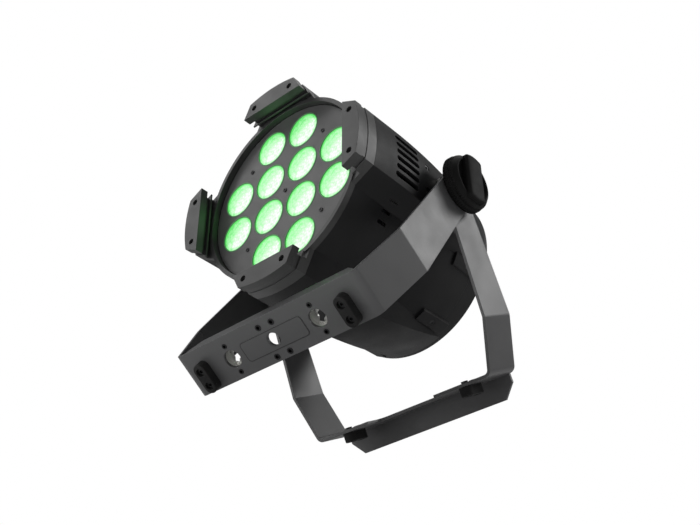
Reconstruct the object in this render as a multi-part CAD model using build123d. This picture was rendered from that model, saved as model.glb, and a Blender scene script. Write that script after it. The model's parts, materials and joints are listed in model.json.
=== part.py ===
from build123d import *
import math
import os

# Stage par light on a double bracket, in millimetres.
# X runs along the tilt axis, the light shines towards -Y, Z is up and the floor is Z = 0.
# Every head part is drawn about the tilt axis with the lenses facing -Y.
# Each bracket is drawn about the same axis with its base straight down.

os.makedirs("parts", exist_ok=True)

# ---- driving dimensions -------------------------------------------------------------------

# how the light stands
HEAD_TILT = 2.5
FRONT_LEAN = 38.3
ORIGIN_SHIFT_Y = 11.487

# brackets, both bent from sheet
SHEET = 3.0
BEND_R = 5.0
F_ARM_X = 131.0
F_BEND_H = 139.0
F_BASE_X = 110.5
F_BASE_H = 207.4
F_INNER_Y = 28.1
F_OUTER_Y = -15.8
F_FLANGE = 24.0
R_ARM_X = 124.3
R_BEND_H = 130.8
R_BASE_X = 108.5
R_BASE_H = 184.2
R_INNER_Y = -29.4
R_OUTER_Y = 19.7
R_FLANGE = 23.0
R_CUT_X = 84.0
R_CUT_Y = 25.0
ARM_END_R = 19.5
PIVOT_HOLE_R = 5.3

# clamp fixings on the front base
CLAMP_PITCH = 106.0
CLAMP_HOLE_R = 9.0
CLIP_BORE_R = 9.5
CLIP_COLLAR_R = 10.9
CLIP_PLATE_T = 2.0
CLIP_COLLAR_H = 6.5
CLAMP_Y = 7.3
CENTRE_HOLE_R = 6.6
RIVET_OFFSET = 14.0
RIVET_R = 2.6
SMALL_HOLE_X = 8.0
SMALL_HOLE_Y = 15.7
SMALL_HOLE_R = 3.1

# feet
FOOT_W = 13.0
FOOT_LEN = 31.0
FOOT_T = 9.5
FOOT_EDGE_R = 1.2
F_FOOT_X = 87.4
F_FOOT_Y = 11.0
R_FOOT_X = 74.0
R_FOOT_Y = -12.0
FOOT_SCREW_PITCH = 15.0

# head
RING_FRONT = -116.5
RING_R = 101.0
RING_BORE_R = 96.5
SEAM_Y = -109.6
CAP_Y = 76.0
BACK_Y = 94.0
BARREL_R_FRONT = 100.6
BARREL_R_BACK = 95.4
WALL = 3.0
PAD_R = 118.0
PAD_FLAT_END = -81.0
PAD_CURVE_R = 650.0
PAD_HALF_W = 31.0
VENT_R = 2.7

# filter-frame holders, four stacks at the front of the head
HOLDER_FRONT = -135.0
HOLDER_BACK = -126.6
RIB_FRONT = -121.5
RIB_BACK = -119.8
STACK_BACK = -115.0
HOLDER_INNER = 97.5
HOLDER_SCREW_R = 106.1
HOLDER_SCREW_X = 24.85

# lenses
LENS_PITCH = 43.5
LENS_R = 18.7
LENS_HOLE_R = 18.95
FACE_FRONT = -109.5
FACE_T = 2.0
FACE_R = 96.0
FACE_SCREW = 48.96

# knobs
KNOB_X = 131.6
KNOB_R = 30.0
KNOB_BAR_R = 26.0
KNOB_BAR_W = 23.0
STUD_R = 5.0

# ---- placing ------------------------------------------------------------------------------

# both brackets stand on the rounded inner ends of their feet
foot_bottom = F_BASE_H + FOOT_T - FOOT_EDGE_R
foot_end = F_FOOT_Y + FOOT_LEN / 2 - FOOT_EDGE_R
lean = math.radians(FRONT_LEAN)
PIVOT_Z = foot_bottom * math.cos(lean) + foot_end * math.sin(lean) + FOOT_EDGE_R
rear_bottom = R_BASE_H + FOOT_T - FOOT_EDGE_R
rear_end = FOOT_LEN / 2 - R_FOOT_Y - FOOT_EDGE_R
rear_reach = math.hypot(rear_bottom, rear_end)
rear_lean = math.acos((PIVOT_Z - FOOT_EDGE_R) / rear_reach) + math.atan2(rear_end, rear_bottom)
REAR_LEAN = math.degrees(rear_lean)

PIVOT = Pos(0, ORIGIN_SHIFT_Y, PIVOT_Z)
HEAD = PIVOT * Rot(-HEAD_TILT, 0, 0)
FRONT = PIVOT * Rot(-FRONT_LEAN, 0, 0)
REAR = PIVOT * Rot(REAR_LEAN, 0, 0)


def save(name, shape, frame):
    """Write one piece, or a list of identical pieces, placed in the standing pose."""
    if isinstance(shape, list):
        placed = Compound([solid for piece in shape for solid in (frame * piece).solids()])
    else:
        placed = frame * shape
    export_step(placed, f"parts/{name}.step")


# ---- shared shapes ------------------------------------------------------------------------


def y_rod(radius, y0, y1, x=0.0, z=0.0):
    """Round bar along Y."""
    return Pos(x, (y0 + y1) / 2, z) * Rot(90, 0, 0) * Cylinder(radius, y1 - y0)


def x_rod(radius, x0, x1, y=0.0, z=0.0):
    """Round bar along X."""
    return Pos((x0 + x1) / 2, y, z) * Rot(0, 90, 0) * Cylinder(radius, x1 - x0)


def z_rod(radius, z0, z1, x=0.0, y=0.0):
    """Round bar along Z."""
    return Pos(x, y, (z0 + z1) / 2) * Cylinder(radius, z1 - z0)


def block(x0, x1, y0, y1, z0, z1):
    return Pos((x0 + x1) / 2, (y0 + y1) / 2, (z0 + z1) / 2) * Box(x1 - x0, y1 - y0, z1 - z0)


def around(shape, degrees):
    """Turn a shape about the light's own axis."""
    return Rot(0, degrees, 0) * shape


def screw_y(x, z, head_y, head_r, shank_r, length, head_t):
    """Socket screw along Y; its head is at head_y and its shank runs towards +Y."""
    head = y_rod(head_r, head_y, head_y + head_t, x, z)
    shank = y_rod(shank_r, head_y + head_t, head_y + length, x, z)
    socket = y_rod(head_r * 0.5, head_y - 1, head_y + head_t * 0.55, x, z)
    return head + shank - socket


# ---- head: outer form ---------------------------------------------------------------------


def pad_radius(y):
    """Radius of the raised pads, flat at the front and curving in to the back."""
    run = max(0.0, y - PAD_FLAT_END)
    return PAD_R - run * run / (2 * PAD_CURVE_R)


def barrel_radius(y):
    share = (y - SEAM_Y) / (BACK_Y - SEAM_Y)
    return BARREL_R_FRONT + (BARREL_R_BACK - BARREL_R_FRONT) * share


def barrel(y0, y1, grow=0.0):
    profile = Polyline(
        (0, y0),
        (barrel_radius(y0) + grow, y0),
        (barrel_radius(y1) + grow, y1),
        (0, y1),
        close=True,
    )
    return revolve(make_face(profile), Axis.Y)


def pad_envelope(y0, y1, grow=0.0):
    """Round body that carries the pads' curved outer faces."""
    stations = [y0] + [y for y in (-81.0, -40.0, 0.0, 40.0, 70.0) if y0 < y < y1] + [y1]
    flat = [y for y in stations if y <= PAD_FLAT_END]
    bent = [y for y in stations if y > PAD_FLAT_END]
    points = [(pad_radius(y) + grow, y) for y in stations]
    if flat and len(bent) > 1:
        line = Line(points[0], points[len(flat) - 1])
        curve = Spline(*points[len(flat) - 1 :])
        edges = [line, curve] if len(flat) > 1 else [curve]
    elif len(bent) > 2:
        edges = [Spline(*points)]
    else:
        edges = [Line(points[0], points[-1])]
    cap = Line(points[-1], (0, y1))
    axis = Line((0, y1), (0, y0))
    start = Line((0, y0), points[0])
    return revolve(make_face(edges + [cap, axis, start]), Axis.Y)


def pad_section(y, grow, z_low=62.0):
    """Cross-section of one raised pad at y, with sides that fall away two to one."""
    half = PAD_HALF_W + grow * 0.9
    radius = pad_radius(y) + grow
    crease = math.sqrt(radius * radius - half * half)
    top = radius + 3
    high = half - (top - crease) / 2
    low = half + (crease - z_low) / 2
    corners = [(-low, z_low), (low, z_low), (high, top), (-high, top)]
    return Pos(0, y, 0) * Rot(90, 0, 0) * make_face(Polyline(*corners, close=True))


def pads(y0, y1, grow=0.0):
    mid = [y for y in (-81.0, -40.0, 0.0, 40.0) if y0 < y < y1]
    sections = [pad_section(y, grow) for y in [y0, *mid, y1]]
    wedge = loft(sections)
    cross = wedge + around(wedge, 90) + around(wedge, 180) + around(wedge, 270)
    return cross & pad_envelope(y0, y1, grow)


def form(y0, y1, grow=0.0):
    return barrel(y0, y1, grow) + pads(y0, y1, grow)


def holder_face(inner, outer_r, shrink=0.0):
    """Front view of one filter-frame holder, above the axis."""
    crease = math.sqrt(PAD_R**2 - PAD_HALF_W**2)
    low = PAD_HALF_W + (crease - inner) / 2 - shrink
    high = PAD_HALF_W - (PAD_R + 3 - crease) / 2 - shrink
    corners = [(-low, inner), (low, inner), (high, PAD_R + 3), (-high, PAD_R + 3)]
    outline = make_face(Polyline(*corners, close=True)) & Circle(outer_r)
    return Rot(90, 0, 0) * outline


def holder_slab(y0, y1, inner, outer_r, shrink=0.0):
    return Pos(0, y1, 0) * extrude(holder_face(inner, outer_r, shrink), y1 - y0)


# ---- head: bezel, holders and face --------------------------------------------------------

bezel = y_rod(RING_R, RING_FRONT, SEAM_Y)
front_spacer = holder_slab(HOLDER_BACK, RIB_FRONT, 101.6, PAD_R - 0.5, 1.5)
rib = holder_slab(RIB_FRONT, RIB_BACK, HOLDER_INNER, PAD_R)
back_spacer = holder_slab(RIB_BACK, STACK_BACK, 101.6, PAD_R)
root = holder_slab(STACK_BACK, SEAM_Y, 90.0, PAD_R)
stack = front_spacer + rib + back_spacer + root
for turn in (0, 90, 180, 270):
    bezel += around(stack, turn)
bezel -= y_rod(RING_BORE_R, RING_FRONT - 1, SEAM_Y + 1)
for turn in (0, 90, 180, 270):
    for x in (-HOLDER_SCREW_X, HOLDER_SCREW_X):
        bezel -= around(y_rod(1.6, HOLDER_BACK - 1, SEAM_Y - 1, x, HOLDER_SCREW_R), turn)
save("front_bezel", bezel, HEAD)

holder = holder_slab(HOLDER_FRONT, HOLDER_BACK, HOLDER_INNER, PAD_R)
for x in (-HOLDER_SCREW_X, HOLDER_SCREW_X):
    holder -= y_rod(3.2, HOLDER_FRONT - 1, HOLDER_FRONT + 4.4, x, HOLDER_SCREW_R)
    holder -= y_rod(1.6, HOLDER_FRONT, HOLDER_BACK + 1, x, HOLDER_SCREW_R)
for name, turn in (("top", 0), ("right", 90), ("bottom", 180), ("left", 270)):
    save(f"frame_holder_{name}", around(holder, turn), HEAD)

holder_screws = []
for turn in (0, 90, 180, 270):
    for x in (-HOLDER_SCREW_X, HOLDER_SCREW_X):
        one = screw_y(x, HOLDER_SCREW_R, HOLDER_FRONT + 2.0, 2.9, 1.5, 18.6, 2.4)
        holder_screws.append(around(one, turn))
save("holder_screws", holder_screws, HEAD)

lens_spots = []
for row, count in ((1.5, 2), (0.5, 4), (-0.5, 4), (-1.5, 2)):
    for i in range(count):
        lens_spots.append(((i - (count - 1) / 2) * LENS_PITCH, row * LENS_PITCH))

face_back = FACE_FRONT + FACE_T
screw_spots = [(0, 0)] + [(FACE_SCREW * i, FACE_SCREW * j) for i in (-1, 1) for j in (-1, 1)]
face = y_rod(FACE_R, FACE_FRONT, face_back)
for x, z in lens_spots:
    face -= y_rod(LENS_HOLE_R, FACE_FRONT - 1, face_back + 1, x, z)
for x, z in screw_spots:
    face -= y_rod(1.6, FACE_FRONT - 1, face_back + 1, x, z)
save("face_plate", face, HEAD)
face_screws = [screw_y(x, z, FACE_FRONT - 0.9, 2.2, 1.45, 8.0, 0.9) for x, z in screw_spots]
save("face_screws", face_screws, HEAD)

LENS_FRONT = FACE_FRONT + 0.8
TRAY_FRONT = -104.0
TRAY_BACK = -101.0
LENS_BACK = -85.0
for number, (x, z) in enumerate(lens_spots, 1):
    rim = y_rod(LENS_R, LENS_FRONT, TRAY_FRONT, x, z)
    cone = Pos(x, (TRAY_FRONT + LENS_BACK) / 2, z) * Rot(90, 0, 0)
    cone = cone * Cone(7.0, 15.5, TRAY_FRONT * -1 + LENS_BACK)
    dimple = y_rod(3.8, LENS_BACK - 4, LENS_BACK + 1, x, z)
    save(f"lens_{number:02d}", rim + cone - dimple, HEAD)

tray = y_rod(FACE_R, TRAY_FRONT, TRAY_BACK)
for x, z in lens_spots:
    tray -= y_rod(15.9, TRAY_FRONT - 1, TRAY_BACK + 1, x, z)
for x, z in screw_spots:
    tray += y_rod(4.2, face_back, TRAY_FRONT, x, z)
    tray += y_rod(4.2, TRAY_BACK, -82.0, x, z)
    tray -= y_rod(1.5, face_back - 1, face_back + 8, x, z)
save("lens_tray", tray, HEAD)

BOARD_BACK = -80.4
board = y_rod(90.0, -82.0, BOARD_BACK)
save("led_board", board, HEAD)
chips = [block(x - 3, x + 3, -84.4, -82.0, z - 3, z + 3) for x, z in lens_spots]
save("led_chips", chips, HEAD)

sink = y_rod(93.0, BOARD_BACK, -73.0)
fin_gap = 13.0
for i in range(-6, 7):
    x = i * fin_gap
    reach = math.sqrt(88.0**2 - x * x) - 2
    sink += block(x - 1.2, x + 1.2, -73.5, -38.0, -reach, reach)
for z in (-62.0, 62.0):
    sink += block(-97.0, 97.0, BOARD_BACK, -74.0, z - 6, z + 6) & barrel(-90, -60, -WALL)
save("heat_sink", sink, HEAD)

# ---- head: housing ------------------------------------------------------------------------

outer = form(SEAM_Y, CAP_Y)
housing = outer - form(SEAM_Y + 1.5, CAP_Y, -WALL)
housing -= y_rod(FACE_R + 0.3, SEAM_Y - 1, SEAM_Y + 2)
for turn in (90, 270):
    for i in range(6):
        z = (i - 2.5) * 8.8
        slot = block(-VENT_R, VENT_R, -77.0, -48.0, PAD_R - 9, PAD_R + 3)
        slot += Pos(0, -77.0, PAD_R - 3) * Cylinder(VENT_R, 12)
        slot += Pos(0, -48.0, PAD_R - 3) * Cylinder(VENT_R, 12)
        housing -= around(Pos(z, 0, 0) * slot, turn)
    for side in (-1, 1):
        for angle in (20.5, 27.0, 33.5):
            vent = block(-1.8, 1.8, -68.0, -57.0, 90, 106)
            housing -= around(vent, turn + side * angle)
pad_screw_y = -30.5
pad_screw_z = 14.0
pad_screw_h = math.sqrt(pad_radius(pad_screw_y) ** 2 - pad_screw_z**2)
for turn in (0, 90, 180, 270):
    for x in (-pad_screw_z, pad_screw_z):
        seat = Pos(x, pad_screw_y, pad_screw_h - 0.6) * Cylinder(3.7, 4.4)
        hole = Pos(x, pad_screw_y, pad_screw_h - 4) * Cylinder(1.6, 14)
        housing -= around(seat + hole, turn)
TAB_SCREW_Y = 64.0
TAB_SCREW_TURN = 25.0
TAB_T = 2.4
tab_top = barrel_radius(TAB_SCREW_Y) + TAB_T
tab_screw_turns = [turn + side * TAB_SCREW_TURN for turn in (0, 90, 180, 270) for side in (-1, 1)]
for turn in tab_screw_turns:
    housing -= around(Pos(0, TAB_SCREW_Y, tab_top - 6) * Cylinder(1.6, 10), turn)
BOSS_R = 17.0
boss_x0 = pad_radius(0) - WALL
for turn in (90, 270):
    housing -= around(Pos(0, 0, boss_x0) * Cylinder(11.0, 30), turn)
save("main_housing", housing, HEAD)

body_screws = []
for turn in (0, 90, 180, 270):
    for x in (-pad_screw_z, pad_screw_z):
        one = Pos(x, pad_screw_y, pad_screw_h - 1.9) * Cylinder(3.3, 1.8)
        one += Pos(x, pad_screw_y, pad_screw_h - 6.6) * Cylinder(1.5, 7.0)
        one -= Pos(x, pad_screw_y, pad_screw_h - 1.4) * Cylinder(1.6, 1.4)
        body_screws.append(around(one, turn))
# rear cap: a shallow lid with tabs that run forward beside each pad
cap = form(CAP_Y, BACK_Y) - form(CAP_Y - 1, BACK_Y - WALL, -WALL)
TAB_Y = 44.0
tab_end = CAP_Y + 8.0
tab_zone = block(36.0, 48.0, TAB_Y, tab_end, 70.0, 110.0)
tab_zone += block(-48.0, -36.0, TAB_Y, tab_end, 70.0, 110.0)
tab = tab_zone & barrel(TAB_Y, tab_end, TAB_T)
tabs = tab + around(tab, 90) + around(tab, 180) + around(tab, 270)
cap += tabs - outer - barrel(CAP_Y - 1, tab_end + 1, -1.0)
for turn in tab_screw_turns:
    cap -= around(Pos(0, TAB_SCREW_Y, tab_top) * Cylinder(3.3, 3.0), turn)
    cap -= around(Pos(0, TAB_SCREW_Y, tab_top - 6) * Cylinder(1.6, 14), turn)
    one = Pos(0, TAB_SCREW_Y, tab_top - 0.9) * Cylinder(2.9, 1.2)
    one += Pos(0, TAB_SCREW_Y, tab_top - 4.5) * Cylinder(1.5, 6.0)
    one -= Pos(0, TAB_SCREW_Y, tab_top - 0.5) * Cylinder(1.4, 0.8)
    body_screws.append(around(one, turn))
PANEL_X = 68.0
PANEL_Z = 52.0
cap -= block(-PANEL_X, PANEL_X, BACK_Y - 8, BACK_Y + 1, -PANEL_Z, PANEL_Z)
cap_screw_spots = [(0, 84.0), (84.0, 0), (0, -84.0), (-84.0, 0)]
for x, z in cap_screw_spots:
    cap -= y_rod(1.7, BACK_Y - 8, BACK_Y + 1, x, z)
save("rear_cap", cap, HEAD)

for x, z in cap_screw_spots:
    one = screw_y(x, -z, -BACK_Y - 2.0, 3.2, 1.55, 10.0, 2.0)
    body_screws.append(Rot(180, 0, 0) * one)

# ---- head: control panel on the back ------------------------------------------------------

PANEL_FRONT = BACK_Y - WALL
panel = block(-PANEL_X + 0.3, PANEL_X - 0.3, PANEL_FRONT, BACK_Y - 0.6, -PANEL_Z + 0.3, PANEL_Z - 0.3)
WINDOW = (-24.0, 24.0, 20.0, 40.0)
panel -= block(WINDOW[0], WINDOW[1], PANEL_FRONT - 1, BACK_Y, WINDOW[2], WINDOW[3])
button_spots = [(-24.0 + 16.0 * i, 8.0) for i in range(4)]
for x, z in button_spots:
    panel -= y_rod(4.4, PANEL_FRONT - 1, BACK_Y, x, z)
socket_spots = (
    ("power_inlet", -46.0, -26.0, 12.0),
    ("power_outlet", -15.5, -26.0, 12.0),
    ("data_input", 15.5, -26.0, 11.0),
    ("data_output", 46.0, -26.0, 11.0),
)
for name, x, z, radius in socket_spots:
    panel -= y_rod(radius, PANEL_FRONT - 1, BACK_Y, x, z)
panel -= y_rod(6.0, PANEL_FRONT - 1, BACK_Y, -50.0, 24.0)
panel -= y_rod(3.1, PANEL_FRONT - 1, BACK_Y, 52.0, 28.0)
panel_screw_spots = [(i * (PANEL_X - 6), j * (PANEL_Z - 6)) for i in (-1, 1) for j in (-1, 1)]
for x, z in panel_screw_spots:
    panel -= y_rod(1.6, PANEL_FRONT - 1, BACK_Y, x, z)
save("control_panel", panel, HEAD)
for x, z in panel_screw_spots:
    one = screw_y(x, -z, -BACK_Y - 1.2, 2.9, 1.5, 8.0, 1.8)
    body_screws.append(Rot(180, 0, 0) * one)
save("housing_screws", body_screws, HEAD)

window = block(WINDOW[0], WINDOW[1], PANEL_FRONT - 1, BACK_Y - 0.4, WINDOW[2], WINDOW[3])
save("display_window", window, HEAD)

BUTTON_TRAVEL = 0.8
for number, (x, z) in enumerate(button_spots, 1):
    cap_part = y_rod(4.0, PANEL_FRONT - 0.8, BACK_Y + 1.6, x, z)
    collar = y_rod(5.2, PANEL_FRONT - 2.0, PANEL_FRONT - 0.8, x, z)
    save(f"menu_button_{number}", cap_part + collar, HEAD)

for name, x, z, radius in socket_spots:
    shell = y_rod(radius, PANEL_FRONT - 18, BACK_Y - 0.6, x, z)
    flange = block(x - 13.0, x + 13.0, BACK_Y - 0.6, BACK_Y + 1.6, z - 15.5, z + 15.5)
    flange = fillet(flange.edges().filter_by(Axis.Y), 3.0)
    nose = y_rod(radius - 0.5, BACK_Y + 1.6, BACK_Y + 3.0, x, z)
    body = shell + flange + nose
    body -= y_rod(radius - 2.6, PANEL_FRONT - 12, BACK_Y + 4, x, z)
    if name.startswith("power"):
        body += y_rod(radius - 5.4, PANEL_FRONT - 13, BACK_Y + 1.0, x, z)
        body -= block(x - 1.2, x + 1.2, BACK_Y - 5, BACK_Y + 2, z - 4, z + 4)
    else:
        for angle in (30, 150, 270):
            px = x + 4.2 * math.cos(math.radians(angle))
            pz = z + 4.2 * math.sin(math.radians(angle))
            body += y_rod(1.2, PANEL_FRONT - 13, BACK_Y - 2, px, pz)
    save(name, body, HEAD)

fuse = y_rod(6.0, PANEL_FRONT - 14, BACK_Y - 0.6, -50.0, 24.0)
fuse += y_rod(8.0, BACK_Y - 0.6, BACK_Y + 4.0, -50.0, 24.0)
fuse -= block(-55.0, -45.0, BACK_Y + 2.6, BACK_Y + 5, 23.2, 24.8)
save("fuse_holder", fuse, HEAD)

eye_bar = Pos(52.0, BACK_Y + 13.0, 28.0) * Rot(0, 90, 0) * Torus(8.0, 2.5)
eye = eye_bar + y_rod(5.5, BACK_Y - 0.6, BACK_Y + 4.0, 52.0, 28.0)
eye += y_rod(3.0, PANEL_FRONT - 6.0, BACK_Y - 0.6, 52.0, 28.0)
save("safety_eye", eye, HEAD)

# ---- head: inside -------------------------------------------------------------------------

FAN_Y0 = -35.0
FAN_Y1 = -15.0
FAN_HALF = 40.0
fan = block(-FAN_HALF, FAN_HALF, FAN_Y0, FAN_Y1, -FAN_HALF, FAN_HALF)
fan -= y_rod(38.0, FAN_Y0 - 1, FAN_Y1 - 2)
fan -= y_rod(36.0, FAN_Y1 - 3, FAN_Y1 + 1)
fan += block(-36.6, 36.6, FAN_Y1 - 2, FAN_Y1, -2.5, 2.5)
fan += block(-2.5, 2.5, FAN_Y1 - 2, FAN_Y1, -36.6, 36.6)
fan += y_rod(14.0, FAN_Y1 - 2, FAN_Y1)
fan += y_rod(2.0, FAN_Y0 + 6, FAN_Y1)
fan += block(-FAN_HALF, -34, FAN_Y0 - 3.0, FAN_Y0, 34, FAN_HALF)
fan += block(34, FAN_HALF, FAN_Y0 - 3.0, FAN_Y0, 34, FAN_HALF)
fan += block(-FAN_HALF, -34, FAN_Y0 - 3.0, FAN_Y0, -FAN_HALF, -34)
fan += block(34, FAN_HALF, FAN_Y0 - 3.0, FAN_Y0, -FAN_HALF, -34)
save("fan_frame", fan, HEAD)

hub = y_rod(14.0, FAN_Y0 + 1, FAN_Y1 - 3) - y_rod(2.06, FAN_Y0 + 3, FAN_Y1)
blade = Pos(23.5, (FAN_Y0 + FAN_Y1) / 2 - 1, 0) * Rot(38, 0, 0) * Box(23.0, 1.6, 17.0)
for i in range(7):
    hub += around(blade, i * 360 / 7)
save("fan_rotor", hub, HEAD)

chassis = block(-62.0, 62.0, -8.0, -6.0, -66.0, 66.0)
for z in (-61.0, 61.0):
    chassis += block(-62.0, 62.0, -6.0, 6.0, z - 1, z + 1)
chassis += block(-93.0, -62.0, -8.0, -6.0, -10.0, 10.0)
chassis += block(62.0, 93.0, -8.0, -6.0, -10.0, 10.0)
chassis -= y_rod(20.0, -9.0, -5.0)
save("inner_chassis", chassis, HEAD)

supply = block(-55.0, 55.0, -6.0, 32.0, -54.0, -8.0)
for i in range(7):
    supply -= block(-45.0 + 14 * i, -39.0 + 14 * i, 30.5, 33.0, -48.0, -14.0)
save("power_supply", supply, HEAD)

driver = block(-50.0, 50.0, 2.0, 3.6, 6.0, 58.0)
for x in (-46.0, 46.0):
    for z in (10.0, 54.0):
        driver += y_rod(2.5, -6.0, 2.0, x, z)
for x in (-30.0, -8.0, 14.0):
    driver += block(x, x + 14, 3.6, 13.6, 24.0, 44.0)
driver += y_rod(5.0, 3.6, 22.0, 38.0, 20.0)
save("driver_board", driver, HEAD)

# ---- pivots -------------------------------------------------------------------------------

BOSS_FACE = R_ARM_X - SHEET - 1.8
# threaded insert: a sleeve through the pad with a flange on each side of the wall
outer_seat = pad_radius(-BOSS_R) + 0.15
inner_seat = math.sqrt((pad_radius(BOSS_R) - WALL) ** 2 - BOSS_R**2) - 0.15
insert = x_rod(10.9, boss_x0 - 9.0, BOSS_FACE)
insert += x_rod(BOSS_R, outer_seat, BOSS_FACE)
insert += x_rod(BOSS_R, boss_x0 - 9.0, inner_seat)
insert -= x_rod(STUD_R + 0.05, boss_x0 - 12.0, BOSS_FACE + 1)
HALF_TURN = Rot(0, 0, 180)
save("pivot_inserts", [insert, HALF_TURN * insert], HEAD)

disc = x_rod(16.0, BOSS_FACE, R_ARM_X - SHEET - 0.3) - x_rod(PIVOT_HOLE_R, 100, 140)
arm_spacer = x_rod(16.0, R_ARM_X + 0.35, F_ARM_X - SHEET) - x_rod(PIVOT_HOLE_R, 100, 140)
save("friction_discs", [disc, HALF_TURN * disc], HEAD)
save("arm_spacers", [arm_spacer, HALF_TURN * arm_spacer], FRONT)

knob = Pos(KNOB_X, 0, 0) * Rot(0, 90, 0)
knob_profile = Polyline(
    (0, 0), (28.5, 0), (KNOB_R, 1.5), (KNOB_R, 6.6), (28.4, 7.2), (28.4, 8.2), (29.4, 8.8),
    (29.0, 11.0), (25.6, 15.2), (24.2, 15.6), (0, 15.6), close=True,
)
knob_body = revolve(Rot(90, 0, 0) * make_face(knob_profile), Axis.Z)
dish = Pos(0, 0, 15.6) * Cylinder(22.0, 9.0) - Pos(0, 0, 12) * Box(60, KNOB_BAR_W, 20)
bar = Pos(0, 0, 15.25) * (Cylinder(KNOB_BAR_R, 10.5) & Box(60, KNOB_BAR_W, 10.5))
bar = fillet(bar.faces().sort_by(Axis.Z)[-1].edges(), 2.6)
grip = knob_body - dish + bar
grip -= Pos(0, 0, 3) * Cylinder(STUD_R, 6.2)
knob_right = knob * grip
save("knob_right", knob_right, PIVOT)
save("knob_left", HALF_TURN * knob_right, PIVOT)
stud = x_rod(STUD_R, boss_x0 - 8.0, KNOB_X + 6.0)
save("knob_stud_right", stud, PIVOT)
save("knob_stud_left", HALF_TURN * stud, PIVOT)

# ---- brackets -----------------------------------------------------------------------------


def channel(arm_x, bend_h, base_x, base_h, top):
    """Bent strip seen from the front, as a face in the XZ plane."""
    corners = [
        (-arm_x, top), (-arm_x, -bend_h), (-base_x, -base_h),
        (base_x, -base_h), (arm_x, -bend_h), (arm_x, top),
    ]
    outer = make_face(Polyline(*corners, close=True))
    low = [v for v in outer.vertices() if v.Y < 0]
    outer = fillet(low, BEND_R + SHEET)
    inner = offset(outer, -SHEET)
    inner += Pos(0, top - 5) * Rectangle(2 * (arm_x - SHEET), 14)
    return Rot(90, 0, 0) * (outer - inner)


def arm_side(y_low, y_high, bend_h, base_h):
    """Side outline of a bracket: full width at the base, rounded about the pivot."""
    mid = (y_low + y_high) / 2
    width = y_high - y_low
    foot = Pos(mid, -(bend_h + base_h + 60) / 2) * Rectangle(width, base_h + 60 - bend_h)
    outline = make_hull((Circle(ARM_END_R) + foot).edges())
    return extrude(Plane.YZ * outline, 200, both=True)


def bracket(arm_x, bend_h, base_x, base_h, y_low, y_high):
    strip = extrude(channel(arm_x, bend_h, base_x, base_h, 30.0), 60, both=True)
    return strip & arm_side(y_low, y_high, bend_h, base_h)


def foot_pad(x, y, base_h):
    """Rubber foot under a bracket base, with two recessed screws."""
    pad = SlotOverall(FOOT_LEN, FOOT_W, rotation=90)
    foot = Pos(x, y, -base_h - FOOT_T) * extrude(pad, FOOT_T)
    foot = fillet(foot.faces().sort_by(Axis.Z)[0].edges(), FOOT_EDGE_R)
    for dy in (-FOOT_SCREW_PITCH / 2, FOOT_SCREW_PITCH / 2):
        foot -= z_rod(4.0, -base_h - FOOT_T - 1, -base_h - 4.0, x, y + dy)
        foot -= z_rod(2.05, -base_h - 5.0, -base_h + 1, x, y + dy)
    return foot


def foot_screws(x, y, base_h):
    """Screws and nuts of one foot; the nuts are above the sheet."""
    solids = []
    for dy in (-FOOT_SCREW_PITCH / 2, FOOT_SCREW_PITCH / 2):
        head = z_rod(3.6, -base_h - 7.2, -base_h - 4.0, x, y + dy)
        head += z_rod(2.0, -base_h - 4.0, -base_h + SHEET, x, y + dy)
        head -= z_rod(1.6, -base_h - 8.0, -base_h - 5.4, x, y + dy)
        nut = extrude(Pos(x, y + dy, -base_h + SHEET) * RegularPolygon(3.9, 6), 2.4)
        solids.append(head + nut)
    return solids


def drill_feet(plate, spots, y, base_h):
    for x in spots:
        for dy in (-FOOT_SCREW_PITCH / 2, FOOT_SCREW_PITCH / 2):
            plate -= z_rod(2.05, -base_h - 1, -base_h + SHEET + 1, x, y + dy)
    return plate


# front bracket: clamp holes in the base, flange turned in along the outer edge
front = bracket(F_ARM_X, F_BEND_H, F_BASE_X, F_BASE_H, F_OUTER_Y, F_INNER_Y)
flange_shape = Polyline(
    (-104.0, -F_BASE_H), (104.0, -F_BASE_H), (104.0, -F_BASE_H + 12), (92.0, -F_BASE_H + F_FLANGE),
    (-92.0, -F_BASE_H + F_FLANGE), (-104.0, -F_BASE_H + 12), close=True,
)
flange = extrude(Rot(90, 0, 0) * make_face(flange_shape), SHEET)
front += Pos(0, F_OUTER_Y + SHEET, 0) * flange
for x in (-CLAMP_PITCH / 2, CLAMP_PITCH / 2):
    front -= z_rod(CLAMP_HOLE_R, -F_BASE_H - 1, -F_BASE_H + SHEET + 1, x, CLAMP_Y)
    for dy in (-RIVET_OFFSET, RIVET_OFFSET):
        front -= z_rod(RIVET_R, -F_BASE_H - 1, -F_BASE_H + SHEET + 1, x, CLAMP_Y + dy)
front -= z_rod(CENTRE_HOLE_R, -F_BASE_H - 1, -F_BASE_H + SHEET + 1, 0, CLAMP_Y)
for x in (-SMALL_HOLE_X, SMALL_HOLE_X):
    for dy in (-SMALL_HOLE_Y, SMALL_HOLE_Y):
        front -= z_rod(SMALL_HOLE_R, -F_BASE_H - 1, -F_BASE_H + SHEET + 1, x, CLAMP_Y + dy)
front = drill_feet(front, (-F_FOOT_X, F_FOOT_X), F_FOOT_Y, F_BASE_H)
front -= x_rod(PIVOT_HOLE_R, -150, 150)
save("front_bracket", front, FRONT)


def base_rivet(x, y, radius, seat):
    """Blind rivet through the base, with its hollow end below and its head above."""
    rivet = z_rod(radius - 0.05, -F_BASE_H - 0.4, seat, x, y)
    rivet += z_rod(radius + 1.2, seat, seat + 1.2, x, y)
    rivet -= z_rod(radius * 0.6, -F_BASE_H - 1, -F_BASE_H + 2.4, x, y)
    return rivet


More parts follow.
